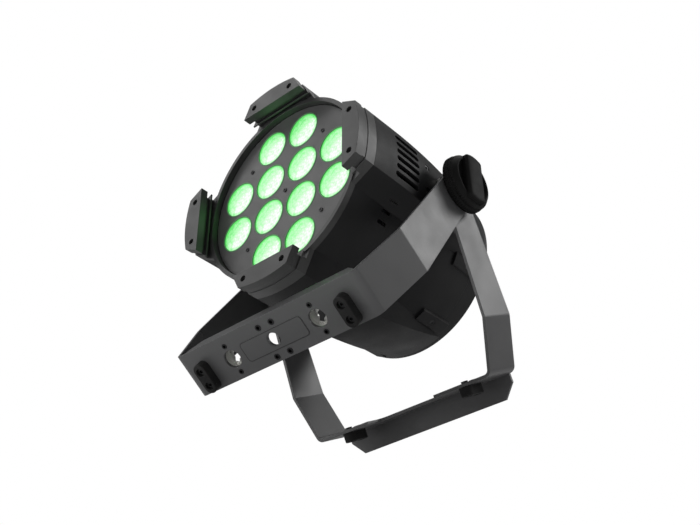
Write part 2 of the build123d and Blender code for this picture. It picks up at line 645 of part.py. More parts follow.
clips = []
rivets = []
for x in (-SMALL_HOLE_X, SMALL_HOLE_X):
    for dy in (-SMALL_HOLE_Y, SMALL_HOLE_Y):
        rivets.append(base_rivet(x, CLAMP_Y + dy, SMALL_HOLE_R, -F_BASE_H + SHEET))
for x in (-CLAMP_PITCH / 2, CLAMP_PITCH / 2):
    top = -F_BASE_H + SHEET
    cup = Pos(x, CLAMP_Y, top + CLIP_PLATE_T / 2) * Box(24.0, 36.0, CLIP_PLATE_T)
    cup = fillet(cup.edges().filter_by(Axis.Z), 8.0)
    cup += z_rod(CLIP_COLLAR_R, top, top + CLIP_COLLAR_H, x, CLAMP_Y)
    cup -= z_rod(CLIP_BORE_R, top - 1, top + 5.0, x, CLAMP_Y)
    cup -= Pos(x, CLAMP_Y, top + 5) * Rot(0, 0, 35) * Box(5.0, 15.0, 4.0)
    cup -= z_rod(4.0, top, top + 8, x, CLAMP_Y)
    for dy in (-RIVET_OFFSET, RIVET_OFFSET):
        cup -= z_rod(RIVET_R, top - 1, top + 3, x, CLAMP_Y + dy)
        cup -= z_rod(4.0, top + CLIP_PLATE_T, top + 8, x, CLAMP_Y + dy)
        rivets.append(base_rivet(x, CLAMP_Y + dy, RIVET_R, top + CLIP_PLATE_T))
    clips.append(cup)
save("quarter_turn_clips", clips, FRONT)
save("base_rivets", rivets, FRONT)

LABEL_T = 0.25
label = Pos(0, CLAMP_Y, -F_BASE_H - LABEL_T) * extrude(RectangleRounded(76.0, 20.6, 4.0), LABEL_T)
label -= z_rod(CENTRE_HOLE_R + 0.6, -F_BASE_H - 1, -F_BASE_H + 1, 0, CLAMP_Y)
save("rating_label", label, FRONT)


def save_feet(name, foot_x, foot_y, base_h, frame):
    feet = [foot_pad(x, foot_y, base_h) for x in (-foot_x, foot_x)]
    screws = [s for x in (-foot_x, foot_x) for s in foot_screws(x, foot_y, base_h)]
    save(f"{name}_feet", feet, frame)
    save(f"{name}_foot_screws", screws, frame)


save_feet("front", F_FOOT_X, F_FOOT_Y, F_BASE_H, FRONT)

# rear bracket: notched base, flange turned out along the outer edge
rear = bracket(R_ARM_X, R_BEND_H, R_BASE_X, R_BASE_H, R_INNER_Y, R_OUTER_Y)
rear_shape = Polyline(
    (-103.0, -R_BASE_H + SHEET), (103.0, -R_BASE_H + SHEET), (103.0, -R_BASE_H - 9),
    (90.0, -R_BASE_H - R_FLANGE), (-90.0, -R_BASE_H - R_FLANGE), (-103.0, -R_BASE_H - 9), close=True,
)
rear_flange = extrude(Rot(90, 0, 0) * make_face(rear_shape), SHEET)
rear += Pos(0, R_OUTER_Y, 0) * rear_flange
notch = Pos(0, R_INNER_Y, -R_BASE_H + SHEET / 2) * Box(R_CUT_X, 2 * R_CUT_Y, SHEET * 2)
notch = fillet(notch.edges().filter_by(Axis.Z), 8.0)
rear -= notch
rear = drill_feet(rear, (-R_FOOT_X, R_FOOT_X), R_FOOT_Y, R_BASE_H)
rear -= x_rod(PIVOT_HOLE_R, -150, 150)
save("rear_bracket", rear, REAR)
save_feet("rear", R_FOOT_X, R_FOOT_Y, R_BASE_H, REAR)
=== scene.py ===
import json
import math

import bmesh
import bpy
from mathutils import Matrix, Vector

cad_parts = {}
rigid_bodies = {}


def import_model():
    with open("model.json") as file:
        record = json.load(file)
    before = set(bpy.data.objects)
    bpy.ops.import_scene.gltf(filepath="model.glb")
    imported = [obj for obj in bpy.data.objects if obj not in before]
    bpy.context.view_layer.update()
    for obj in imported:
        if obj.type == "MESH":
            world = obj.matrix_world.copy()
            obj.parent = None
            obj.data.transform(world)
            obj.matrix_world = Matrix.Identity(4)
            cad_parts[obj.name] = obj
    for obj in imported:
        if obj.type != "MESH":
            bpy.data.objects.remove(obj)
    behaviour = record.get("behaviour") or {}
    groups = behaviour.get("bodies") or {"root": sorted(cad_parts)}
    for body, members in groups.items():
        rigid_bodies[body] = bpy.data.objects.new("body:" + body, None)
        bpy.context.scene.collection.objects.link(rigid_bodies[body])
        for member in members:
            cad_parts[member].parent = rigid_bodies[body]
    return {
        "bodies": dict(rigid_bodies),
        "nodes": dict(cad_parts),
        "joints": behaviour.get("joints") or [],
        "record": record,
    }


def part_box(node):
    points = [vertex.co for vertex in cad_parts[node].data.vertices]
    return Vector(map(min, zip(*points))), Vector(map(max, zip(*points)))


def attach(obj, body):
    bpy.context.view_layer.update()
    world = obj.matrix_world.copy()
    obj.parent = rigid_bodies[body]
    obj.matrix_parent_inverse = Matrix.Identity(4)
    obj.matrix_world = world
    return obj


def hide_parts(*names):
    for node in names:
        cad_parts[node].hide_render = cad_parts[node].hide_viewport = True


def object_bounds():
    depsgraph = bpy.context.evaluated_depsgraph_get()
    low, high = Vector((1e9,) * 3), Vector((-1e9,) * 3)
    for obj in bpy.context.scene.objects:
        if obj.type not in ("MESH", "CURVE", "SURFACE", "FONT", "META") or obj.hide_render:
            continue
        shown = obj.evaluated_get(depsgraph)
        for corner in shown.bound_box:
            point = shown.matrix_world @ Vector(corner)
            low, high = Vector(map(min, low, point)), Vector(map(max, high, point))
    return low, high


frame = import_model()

# Looks for a stage par light: node materials on the CAD nodes, plus moulded lenses, lens trims,
# knurled knobs and a label border as meshes of their own. Metres, in the CAD frame.

CAD_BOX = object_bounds()
NODES = frame["nodes"]
MM = 0.001
SCENE = bpy.context.scene

# ---- places read from the frame -----------------------------------------------------------

JOINTS = {joint["name"]: joint for joint in frame["joints"]}
PIVOT = Vector(JOINTS["head_tilt"]["pos_m"])
# The head's own frame: its origin at the pivot, its Y along the light's axis, the beam towards -Y.
LIGHT_BACK = Vector(JOINTS["fan_spin"]["axis"]).normalized()
HEAD_TILT = math.atan2(LIGHT_BACK.z, LIGHT_BACK.y)
HEAD = Matrix.Translation(PIVOT) @ Matrix.Rotation(HEAD_TILT, 4, "X")


def centre_of(node):
    low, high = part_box(node)
    return (low + high) / 2


# ---- node materials -----------------------------------------------------------------------

EDGE_STARTS = 0.995  # cosine between the rounded and the flat normal where an edge begins
EDGE_FULL = 0.90
EDGE_WEAR = 0.35  # how far a rubbed edge shows the metal under the coat
WORN_GREY = (0.10, 0.10, 0.105)
WORN_DARK = (0.06, 0.06, 0.062)


def scaled(colour, factor, lift=0.0):
    """The same colour made lighter or darker."""
    return tuple(c * factor + lift for c in colour)


class Surface:
    """A node material on one Principled shader, built up feature by feature."""

    def __init__(self, name, colour, roughness, metallic=0.0):
        self.material = bpy.data.materials.new(name)
        self.material.use_nodes = True
        self.tree = self.material.node_tree
        self.shader = self.tree.nodes["Principled BSDF"]
        self.shader.inputs["Metallic"].default_value = metallic
        self.colour = (*colour, 1.0)
        self.colour_socket = None
        self.rough_socket = None
        self.normal_socket = None
        self.rough = roughness
        self.shader.inputs["Base Color"].default_value = self.colour
        self.shader.inputs["Roughness"].default_value = roughness
        self.coords = self.node("ShaderNodeTexCoord").outputs["Object"]

    def node(self, kind, **settings):
        made = self.tree.nodes.new(kind)
        for key, value in settings.items():
            setattr(made, key, value)
        return made

    def link(self, source, target):
        self.tree.links.new(source, target)

    def noise(self, scale, detail=3.0, roughness=0.5):
        made = self.node("ShaderNodeTexNoise")
        made.inputs["Scale"].default_value = scale
        made.inputs["Detail"].default_value = detail
        made.inputs["Roughness"].default_value = roughness
        self.link(self.coords, made.inputs["Vector"])
        return made.outputs["Fac"]

    def cells(self, scale):
        """Distance to the nearest of many scattered points."""
        made = self.node("ShaderNodeTexVoronoi")
        made.inputs["Scale"].default_value = scale
        self.link(self.coords, made.inputs["Vector"])
        return made.outputs["Distance"]

    def span(self, source, low, high, to_low, to_high):
        """Map low..high onto to_low..to_high, and hold it there outside."""
        made = self.node("ShaderNodeMapRange")
        made.inputs["From Min"].default_value = low
        made.inputs["From Max"].default_value = high
        made.inputs["To Min"].default_value = to_low
        made.inputs["To Max"].default_value = to_high
        self.link(source, made.inputs["Value"])
        return made.outputs["Result"]

    def maths(self, operation, a, b):
        made = self.node("ShaderNodeMath", operation=operation)
        for socket, value in zip(made.inputs, (a, b)):
            if isinstance(value, float):
                socket.default_value = value
            else:
                self.link(value, socket)
        return made.outputs["Value"]

    def patches(self, scale, low, high, amount, detail=3.0):
        """Soft uneven patches, from nothing up to the amount."""
        spread = self.span(self.noise(scale, detail), low, high, 0.0, 1.0)
        return self.maths("MULTIPLY", spread, amount)

    def tint(self, factor, colour):
        """Mix the base colour so far towards another colour."""
        made = self.node("ShaderNodeMix", data_type="RGBA")
        made.inputs["A"].default_value = self.colour
        if self.colour_socket is not None:
            self.link(self.colour_socket, made.inputs["A"])
        made.inputs["B"].default_value = (*colour, 1.0)
        self.link(factor, made.inputs["Factor"])
        self.colour_socket = made.outputs["Result"]
        self.link(self.colour_socket, self.shader.inputs["Base Color"])

    def vary_rough(self, source, low, high, amount):
        """Shift the roughness by -amount..amount as the source runs from low to high."""
        added = self.span(source, low, high, -amount, amount)
        base = self.rough if self.rough_socket is None else self.rough_socket
        self.rough_socket = self.maths("ADD", added, base)
        self.link(self.rough_socket, self.shader.inputs["Roughness"])

    def bump(self, source, strength, depth):
        made = self.node("ShaderNodeBump")
        made.inputs["Strength"].default_value = strength
        made.inputs["Distance"].default_value = depth
        self.link(source, made.inputs["Height"])
        if self.normal_socket is not None:
            self.link(self.normal_socket, made.inputs["Normal"])
        self.normal_socket = made.outputs["Normal"]
        self.link(self.normal_socket, self.shader.inputs["Normal"])

    def round_edges(self, radius):
        """Soften sharp edges, and return how strongly each point is on one."""
        made = self.node("ShaderNodeBevel", samples=4)
        made.inputs["Radius"].default_value = radius
        flat = self.node("ShaderNodeNewGeometry").outputs["Normal"]
        dot = self.node("ShaderNodeVectorMath", operation="DOT_PRODUCT")
        self.link(made.outputs["Normal"], dot.inputs[0])
        self.link(flat, dot.inputs[1])
        self.normal_socket = made.outputs["Normal"]
        self.link(self.normal_socket, self.shader.inputs["Normal"])
        return self.span(dot.outputs["Value"], EDGE_STARTS, EDGE_FULL, 0.0, 1.0)


SEAM = -109.6 * MM  # where the bezel meets the housing, along the light's axis from the pivot
SEAM_HALF_WIDTH = 0.35 * MM
SEAM_FADED = 0.6 * MM
SEAM_COLOUR = (0.001, 0.001, 0.001)


def seam_line(made):
    """Thin dark gap where the housing meets the bezel, measured along the light's own axis."""
    shifted = made.node("ShaderNodeVectorMath", operation="SUBTRACT")
    shifted.inputs[1].default_value = PIVOT
    made.link(made.coords, shifted.inputs[0])
    along = made.node("ShaderNodeVectorMath", operation="DOT_PRODUCT")
    along.inputs[1].default_value = LIGHT_BACK
    made.link(shifted.outputs["Vector"], along.inputs[0])
    away = made.maths("ABSOLUTE", made.maths("SUBTRACT", along.outputs["Value"], SEAM), 0.0)
    made.tint(made.span(away, SEAM_HALF_WIDTH, SEAM_FADED, 1.0, 0.0), SEAM_COLOUR)


def coated(name, colour, roughness, grain=0.35, edge=0.0007, worn=WORN_GREY):
    """Textured powder coat: fine orange-peel grain, soft edges slightly rubbed."""
    made = Surface(name, colour, roughness)
    on_edge = made.round_edges(edge)
    patchy = made.span(made.noise(60.0, 4.0), 0.35, 0.7, 0.0, 1.0)
    rubbed = made.maths("MULTIPLY", on_edge, patchy)
    made.tint(made.patches(9.0, 0.3, 0.7, 0.25, detail=2.0), scaled(colour, 1.5))
    made.tint(made.maths("MULTIPLY", rubbed, EDGE_WEAR), worn)
    made.vary_rough(made.noise(35.0, 4.0), 0.3, 0.7, 0.05)
    made.vary_rough(made.noise(900.0, 2.0), 0.3, 0.7, 0.04)
    made.bump(made.noise(1500.0, 2.0), grain, 0.00012)
    made.bump(made.cells(2600.0), grain * 0.5, 0.00006)
    return made


def moulded(name, colour, roughness, grain=0.25, edge=0.0004):
    """Moulded plastic with a fine spark-eroded skin, its edges painted lighter as a highlight."""
    made = Surface(name, colour, roughness)
    on_edge = made.round_edges(edge)
    # Painted highlight: the rounded edges are made a little lighter all round, as if they caught the
    # light.
    made.tint(made.maths("MULTIPLY", on_edge, 0.3), scaled(colour, 1.9, lift=0.02))
    made.tint(made.patches(14.0, 0.35, 0.7, 0.3), scaled(colour, 1.4))
    made.vary_rough(made.noise(50.0, 4.0), 0.3, 0.7, 0.06)
    made.bump(made.noise(3200.0, 2.0), grain, 0.00005)
    return made


def plated(name, colour, roughness, brushed=False):
    """Bare or plated metal, slightly stained, its edges painted lighter as a highlight; brushed metal
    has fine lines along X.
    """
    made = Surface(name, colour, roughness, metallic=1.0)
    on_edge = made.round_edges(0.0003)
    # Painted highlight: the rounded edges are made lighter all round, as if they caught the light.
    made.tint(made.maths("MULTIPLY", on_edge, 0.5), scaled(colour, 1.25))
    made.tint(made.patches(70.0, 0.4, 0.7, 0.35), scaled(colour, 0.65))
    made.vary_rough(made.noise(120.0, 4.0), 0.3, 0.7, 0.10)
    if brushed:
        stretch = made.node("ShaderNodeMapping")
        stretch.inputs["Scale"].default_value = (1.0, 60.0, 60.0)
        made.link(made.coords, stretch.inputs["Vector"])
        made.coords = stretch.outputs["Vector"]
        made.bump(made.noise(40.0, 4.0), 0.3, 0.00004)
    else:
        made.bump(made.noise(900.0, 3.0), 0.15, 0.00004)
    return made


def rubbery(name, colour):
    """Matt moulded rubber with dusty patches."""
    made = Surface(name, colour, 0.72)
    made.round_edges(0.0006)
    made.tint(made.patches(90.0, 0.4, 0.75, 0.4), (0.022, 0.021, 0.020))
    made.vary_rough(made.noise(60.0), 0.3, 0.7, 0.08)
    made.bump(made.noise(1100.0, 3.0), 0.4, 0.00012)
    return made


SHEET_BLACK = coated("sheet_black", (0.050, 0.050, 0.051), 0.42)
HOUSING_BLACK = coated("housing_black", (0.0075, 0.0075, 0.008), 0.50, 0.30, 0.0006, worn=WORN_DARK)
CAP_BLACK = coated("cap_black", (0.008, 0.008, 0.0085), 0.52, 0.30, 0.0006, worn=WORN_DARK)
BEZEL_BLACK = moulded("bezel_black", (0.020, 0.020, 0.020), 0.42, 0.3)
FACE_BLACK = moulded("face_black", (0.045, 0.045, 0.045), 0.42, 0.35)
SOCKET_BLACK = moulded("socket_black", (0.03, 0.03, 0.032), 0.42)
KNOB_BLACK = moulded("knob_black", (0.006, 0.006, 0.006), 0.55, 0.4, 0.0002)
INNER_BLACK = moulded("inner_black", (0.03, 0.03, 0.03), 0.55)
PANEL_BLACK = coated("panel_black", (0.035, 0.035, 0.036), 0.5, 0.2, 0.0004)
SCREW_BLACK = plated("screw_black", (0.035, 0.035, 0.036), 0.36)
ZINC = plated("zinc", (0.50, 0.50, 0.48), 0.34)
ALUMINIUM = plated("extruded_aluminium", (0.66, 0.67, 0.68), 0.38, brushed=True)
RUBBER = rubbery("foot_rubber", (0.009, 0.009, 0.009))
for beside_seam in (HOUSING_BLACK, BEZEL_BLACK):
    seam_line(beside_seam)
DULLED = ((HOUSING_BLACK, 0.17), (CAP_BLACK, 0.17), (KNOB_BLACK, 0.07), (RUBBER, 0.2))
for surface, shine in DULLED:
    surface.shader.inputs["Specular IOR Level"].default_value = shine


def label_film():
    """Smooth overlay with a fine dark border where its edge meets the paint."""
    made = Surface("label_film", (0.05, 0.05, 0.051), 0.36)
    on_edge = made.round_edges(0.0005)
    made.tint(on_edge, (0.004, 0.004, 0.004))
    made.vary_rough(made.noise(80.0, 4.0), 0.3, 0.7, 0.05)
    made.bump(made.noise(1800.0), 0.2, 0.00004)
    return made


def board():
    """Green solder mask, lighter round scattered points."""
    made = Surface("solder_mask", (0.03, 0.13, 0.06), 0.35)
    spots = made.span(made.cells(260.0), 0.0, 0.4, 1.0, 0.0)
    made.tint(made.maths("MULTIPLY", spots, 0.5), (0.05, 0.2, 0.09))
    made.vary_rough(made.noise(200.0), 0.3, 0.7, 0.08)
    made.bump(made.noise(700.0), 0.2, 0.00005)
    return made


def tinted_window():
    """Dark glossy cover of the blank display."""
    made = Surface("window_tint", (0.008, 0.011, 0.012), 0.12)
    made.tint(made.patches(30.0, 0.4, 0.7, 0.4), (0.02, 0.024, 0.026))
    made.vary_rough(made.noise(160.0, 5.0), 0.3, 0.75, 0.05)
    made.bump(made.noise(400.0), 0.05, 0.00003)
    return made


LABEL = label_film()
BOARD = board()
WINDOW = tinted_window()


LENS_R = 18.7 * MM
HOT_SIDE = (0.58, 0.0, -0.81)  # the side on which every lens is brightest
DOME_BACK = 0.4 * MM  # behind this depth in a lens nothing glows
GLOW_STOPS = (
    (0.0, (0.10, 0.72, 0.12)),
    (0.35, (0.30, 0.88, 0.32)),
    (0.7, (0.60, 0.98, 0.60)),
    (1.0, (0.95, 1.0, 0.95)),
)


def glowing(name, strength, front_only=True):
    """Lit lens: nearly white towards one side, saturated green at the rim and the other side.

    Only the dome in front glows when front_only is set; the cone behind it stays dark.
    """
    made = Surface(name, (0.03, 0.09, 0.035), 0.24)
    lean = made.node("ShaderNodeVectorMath", operation="DOT_PRODUCT")
    lean.inputs[1].default_value = HOT_SIDE
    made.link(made.coords, lean.inputs[0])
    side = made.span(lean.outputs["Value"], -LENS_R, 0.55 * LENS_R, 0.05, 1.05)
    mottle = made.span(made.noise(150.0, 4.0, 0.65), 0.3, 0.7, -0.22, 0.22)
    facets = made.span(made.cells(420.0), 0.0, 0.8, 0.16, -0.20)
    flat = made.node("ShaderNodeVectorMath", operation="MULTIPLY")
    flat.inputs[1].default_value = (1.0, 0.0, 1.0)
    made.link(made.coords, flat.inputs[0])
    length = made.node("ShaderNodeVectorMath", operation="LENGTH")
    made.link(flat.outputs["Vector"], length.inputs[0])
    rim = made.span(length.outputs["Value"], 0.80 * LENS_R, LENS_R, 0.0, 0.55)
    heat = made.maths("ADD", made.maths("ADD", side, mottle), facets)
    heat = made.maths("SUBTRACT", heat, rim)
    ramp = made.node("ShaderNodeValToRGB")
    while len(ramp.color_ramp.elements) < len(GLOW_STOPS):
        ramp.color_ramp.elements.new(0.5)
    for element, (place, colour) in zip(ramp.color_ramp.elements, GLOW_STOPS):
        element.position = place
        element.color = (*colour, 1.0)
    made.link(heat, ramp.inputs["Fac"])
    lit = ramp.outputs["Color"]
    if front_only:
        depth = made.node("ShaderNodeSeparateXYZ")
        made.link(made.coords, depth.inputs["Vector"])
        shade = made.span(depth.outputs["Y"], 0.0, DOME_BACK, 1.0, 0.0)
        masked = made.node("ShaderNodeVectorMath", operation="SCALE")
        made.link(lit, masked.inputs[0])
        made.link(shade, masked.inputs["Scale"])
        lit = masked.outputs["Vector"]
    made.link(lit, made.shader.inputs["Emission Color"])
    made.shader.inputs["Emission Strength"].default_value = strength
    made.vary_rough(made.noise(300.0), 0.3, 0.7, 0.05)
    made.bump(made.cells(620.0), 0.25, 0.0002)
    return made


LENS = glowing("lens_lit", 0.97)
CHIP = glowing("led_face", 0.5, front_only=False)

SLOT_SURFACES = {
    "black_paint": SHEET_BLACK,
    "cast_black": HOUSING_BLACK,
    "bezel_plastic": BEZEL_BLACK,
    "face_black": FACE_BLACK,
    "lens": LENS,
    "black_steel": SCREW_BLACK,
    "inner_plastic": INNER_BLACK,
    "board_green": BOARD,
    "led_emitter": CHIP,
    "bare_aluminium": ALUMINIUM,
    "supply_case": ALUMINIUM,
    "zinc_steel": ZINC,
    "panel_paint": PANEL_BLACK,
    "window": WINDOW,
    "socket_plastic": SOCKET_BLACK,
    "rubber": RUBBER,
    "knob_plastic": KNOB_BLACK,
}
NODE_SURFACES = {
    "main_housing": HOUSING_BLACK,
    "rear_cap": CAP_BLACK,
    "rating_label": LABEL,
}
for part in frame["record"]["subparts"]:
    node = NODES[part["node"]]
    surface = NODE_SURFACES.get(part["node"], SLOT_SURFACES[part["material_slot"]])
    node.data.materials.clear()
    node.data.materials.append(surface.material)

# ---- mesh helpers -------------------------------------------------------------------------


def mesh_object(name, bm, surface, smooth_angle=30.0):
    """Turn a bmesh into a scene object with smooth faces and sharp creases."""
    bmesh.ops.recalc_face_normals(bm, faces=bm.faces)
    for face in bm.faces:
        face.smooth = True
    for edge in bm.edges:
        if len(edge.link_faces) == 2 and edge.calc_face_angle() > math.radians(smooth_angle):
            edge.smooth = False
    mesh = bpy.data.meshes.new(name)
    bm.to_mesh(mesh)
    bm.free()
    mesh.materials.append(surface.material)
    made = bpy.data.objects.new(name, mesh)
    SCENE.collection.objects.link(made)
    return made


def lathe(bm, profile, segments, radius_of=None):
    """Turned form about +X from (x, r) points; radius_of may shape each ring."""
    rings = []
    for x, r in profile:
        if r == 0:
            rings.append([bm.verts.new((x, 0, 0))])
            continue
        ring = []
        for i in range(segments):
            angle = 2 * math.pi * i / segments
            radius = radius_of(x, r, i) if radius_of else r
            ring.append(bm.verts.new((x, radius * math.cos(angle), radius * math.sin(angle))))
        rings.append(ring)
    for first, second in zip(rings, rings[1:]):
        for i in range(segments):
            j = (i + 1) % segments
            if len(first) == 1:
                bm.faces.new((first[0], second[j], second[i]))
            elif len(second) == 1:
                bm.faces.new((first[i], first[j], second[0]))
            else:
                bm.faces.new((first[i], first[j], second[j], second[i]))


def stack(bm, levels):
    """Loft closed outlines, each a list of points, into one skin closed at both ends."""
    rings = [[bm.verts.new(point) for point in outline] for outline in levels]
    for first, second in zip(rings, rings[1:]):
        for i in range(len(first)):
            j = (i + 1) % len(first)
            bm.faces.new((first[i], first[j], second[j], second[i]))
    bm.faces.new(rings[0][::-1])
    bm.faces.new(rings[-1])


# ---- lenses -------------------------------------------------------------------------------

LENS_COUNT = 12
FACE_FRONT = -109.5 * MM  # front of the face plate, along the light's axis from the pivot
LENS_SINK = 0.5 * MM  # how far a lens's edge sits behind that front
LENS_DOME = 1.1 * MM
LENS_PLAIN_RIM = 0.9 * MM  # outside the facets
LENS_BACK = 22.0 * MM
LENS_SEGMENTS = 144
LENS_RINGS = 38
LENS_SIDE = (  # radius and depth, from the dome's rim round to the narrow end of the cone
    (LENS_R - 0.7 * MM, -0.35 * MM),
    (LENS_R - 0.2 * MM, -0.3 * MM),
    (LENS_R, 0.0),
    (LENS_R, 4.5 * MM),
    (15.5 * MM, 4.5 * MM),
    (7.2 * MM, 23.0 * MM),
)
FACET_PITCH = 2.3 * MM
FACET_REACH = 0.55 * FACET_PITCH
FACET_HEIGHT = 0.16 * MM
FACET_FADE = 3  # rings over which the facets fade out
TRIM_SEGMENTS = 96
TRIM_PROFILE = (  # depth and radius in millimetres
    (0.35, 18.98), (-0.35, 19.0), (-0.55, 19.1), (-0.6, 19.25), (-0.55, 19.4), (-0.3, 19.6),
    (0.05, 19.75),
)


def facet(a, b):
    """Height of the small moulded domes, laid out in a honeycomb."""
    row = FACET_PITCH * math.sqrt(3) / 2
    best = 1.0
    j0 = round(b / row)
    for j in (j0 - 1, j0, j0 + 1):
        shift = FACET_PITCH / 2 if j % 2 else 0.0
        i = round((a - shift) / FACET_PITCH)
        da = a - (i * FACET_PITCH + shift)
        db = b - j * row
        best = min(best, (da * da + db * db) / FACET_REACH ** 2)
    return FACET_HEIGHT * (1 - best)


def lens_mesh():
    """One lens about its own centre, domed towards -Y, with facets and a plain rim."""
    bm = bmesh.new()
    rows = []
    for k in range(LENS_RINGS + 1):
        radius = (LENS_R - LENS_PLAIN_RIM) * k / LENS_RINGS
        if k == 0:
            rows.append([bm.verts.new((0, -LENS_DOME, 0))])
            continue
        bulge = LENS_DOME * (1 - (radius / LENS_R) ** 2)
        fade = min(1.0, (LENS_RINGS - k) / FACET_FADE)
        ring = []
        for i in range(LENS_SEGMENTS):
            angle = 2 * math.pi * i / LENS_SEGMENTS
            a, b = radius * math.cos(angle), radius * math.sin(angle)
            ring.append(bm.verts.new((a, -bulge - facet(a, b) * fade, b)))
        rows.append(ring)
    for radius, y in LENS_SIDE:
        ring = []
        for i in range(LENS_SEGMENTS):
            angle = 2 * math.pi * i / LENS_SEGMENTS
            ring.append(bm.verts.new((radius * math.cos(angle), y, radius * math.sin(angle))))
        rows.append(ring)
    rows.append([bm.verts.new((0, LENS_BACK, 0))])
    for first, second in zip(rows, rows[1:]):
        for i in range(LENS_SEGMENTS):
            j = (i + 1) % LENS_SEGMENTS
            if len(first) == 1:
                bm.faces.new((first[0], second[i], second[j]))
            elif len(second) == 1:
                bm.faces.new((first[j], first[i], second[0]))
            else:
                bm.faces.new((first[i], first[j], second[j], second[i]))
    return bm


# Painted light: the collar's green tint and its faint green glow stand in for the lenses' green light
# falling on it; the collar itself is no lamp.
TRIM_PAINTED_GLOW = moulded("lens_trim", (0.05, 0.10, 0.055), 0.28, 0.15, 0.0002)
TRIM_PAINTED_GLOW.shader.inputs["Emission Color"].default_value = (0.10, 0.80, 0.14, 1.0)
TRIM_PAINTED_GLOW.shader.inputs["Emission Strength"].default_value = 0.16


def trim_mesh():
    """Raised collar round one lens."""
    bm = bmesh.new()
    lathe(bm, [(x * MM, r * MM) for x, r in TRIM_PROFILE], TRIM_SEGMENTS)
    bmesh.ops.rotate(bm, verts=bm.verts, matrix=Matrix.Rotation(math.radians(90), 3, "Z"))
    return bm


def copy_of(first, name):
    """Another object that shares the first one's mesh."""
    made = bpy.data.objects.new(name, first.data)
    SCENE.collection.objects.link(made)
    return made


first_lens = mesh_object("lens_optic_01", lens_mesh(), LENS, 40)
first_trim = mesh_object("lens_trim_01", trim_mesh(), TRIM_PAINTED_GLOW, 50)
to_head = HEAD.inverted()
for number in range(1, LENS_COUNT + 1):
    name = f"lens_{number:02d}"
    lens = first_lens if number == 1 else copy_of(first_lens, f"lens_optic_{number:02d}")
    trim = first_trim if number == 1 else copy_of(first_trim, f"lens_trim_{number:02d}")
    spot = to_head @ centre_of(name)
    lens.matrix_world = HEAD @ Matrix.Translation((spot.x, FACE_FRONT + LENS_SINK, spot.z))
    trim.matrix_world = HEAD @ Matrix.Translation((spot.x, FACE_FRONT, spot.z))
    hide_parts(name)
    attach(lens, "head")
    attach(trim, "head")

# ---- green light spilling from the outer lenses onto the holders and the bracket ----------

SPILL_GREEN = (0.10, 1.0, 0.12)
SPILL_START = Vector((0, -117, 44))  # for the top holder; the other three are turned from it
SPILL_AIM = Vector((0, -128, 98))


def spill(name, start, aim, watts, spread):
    """Small green spot, placed in the head's own frame in millimetres, hidden from the camera."""
    lamp = bpy.data.lights.new(name, "SPOT")
    lamp.energy = watts
    lamp.color = SPILL_GREEN
    lamp.spot_size = math.radians(spread)
    lamp.spot_blend = 0.9
    lamp.shadow_soft_size = 5.0 * MM
    made = bpy.data.objects.new(name, lamp)
    SCENE.collection.objects.link(made)
    made.visible_camera = False
    made.visible_glossy = False
    along = (Vector(aim) - Vector(start)).to_track_quat("-Z", "Y").to_matrix().to_4x4()
    made.matrix_world = HEAD @ Matrix.Translation(Vector(start) * MM) @ along
    made.parent = frame["bodies"]["head"]


for turn in range(4):
    swing = Matrix.Rotation(math.radians(90 * turn), 3, "Y")
    spill(f"spill_{turn + 1}", swing @ SPILL_START, swing @ SPILL_AIM, 0.10, 62)
spill("spill_5", (50, -125, -88), (62, -120, -150), 0.05, 60)

# ---- knobs --------------------------------------------------------------------------------

TEETH = 72
TOOTH_SEGMENTS = 4
KNURL_FROM_X = 1.0 * MM
KNURL_FROM_R = 28.6 * MM
KNURL_DEPTH = 0.55 * MM
KNOB_PROFILE = (  # distance from the knob's inner face and radius, in millimetres
    (0.0, 5.2), (0.0, 28.2), (0.5, 29.0), (1.2, 29.7), (1.8, 30.0), (6.0, 30.0), (6.6, 29.7),
    (7.0, 29.0), (7.3, 28.5), (8.2, 28.4), (8.6, 28.9), (9.1, 29.2), (10.0, 29.1), (11.4, 28.6),
    (12.6, 27.7), (13.8, 26.6), (14.8, 25.7), (15.4, 25.1), (15.7, 24.4), (15.6, 23.6), (15.0, 22.9),
    (13.6, 22.2), (12.2, 20.4), (11.6, 17.5), (11.3, 12.0), (11.2, 0.0),
)


def knurl(x, r, i):
    """Fine teeth on the grip's outer faces: half of each tooth's segments are cut back."""
    outer = r > KNURL_FROM_R and x > KNURL_FROM_X
    return r - KNURL_DEPTH if outer and i % TOOTH_SEGMENTS >= TOOTH_SEGMENTS // 2 else r


# The grip bar across the knob, in millimetres.
BAR_R = 27.0
BAR_HALF_W = 12.3
BAR_CORNER = 1.6
BAR_STEPS = 23  # along each round end
BAR_TOOTH = 0.5
BAR_KNURLED_INSET = 2.0  # a level drawn in by this much or more is smooth
BAR_LEVELS = (  # distance from the inner face, and how far the outline is drawn in
    (10.2, 0.0), (14.0, 0.0), (17.2, 0.0), (18.2, 0.3), (19.0, 0.9), (19.6, 1.8), (20.0, 3.2),
    (20.3, 5.0), (20.45, 7.5),
)


def bar_outline(x, inset):
    """Grip bar at height x, in millimetres: flat sides along Z, round knurled ends."""
    radius = BAR_R - inset
    half = BAR_HALF_W - inset
    limit = math.asin((half - BAR_CORNER) / radius)
    edge = radius * math.cos(limit) - BAR_CORNER
    points = []
    for end in (1, -1):
        points.append((x, end * half, end * edge))
        for k in range(BAR_STEPS + 1):
            angle = limit - 2 * limit * k / BAR_STEPS
            knurled = 1 < k < BAR_STEPS - 1 and k % 2 and inset < BAR_KNURLED_INSET
            reach = radius - (BAR_TOOTH if knurled else 0.0)
            points.append((x, end * reach * math.sin(angle), end * reach * math.cos(angle)))
        points.append((x, -end * half, end * edge))
    return points


def knob_mesh():
    """Hand knob about +X: a knurled dish with the grip bar standing in it."""
    bm = bmesh.new()
    lathe(bm, [(x * MM, r * MM) for x, r in KNOB_PROFILE], TEETH * TOOTH_SEGMENTS, knurl)
    levels = []
    for x, inset in BAR_LEVELS:
        levels.append([tuple(c * MM for c in p) for p in bar_outline(x, inset)])
    stack(bm, levels)
    return bm


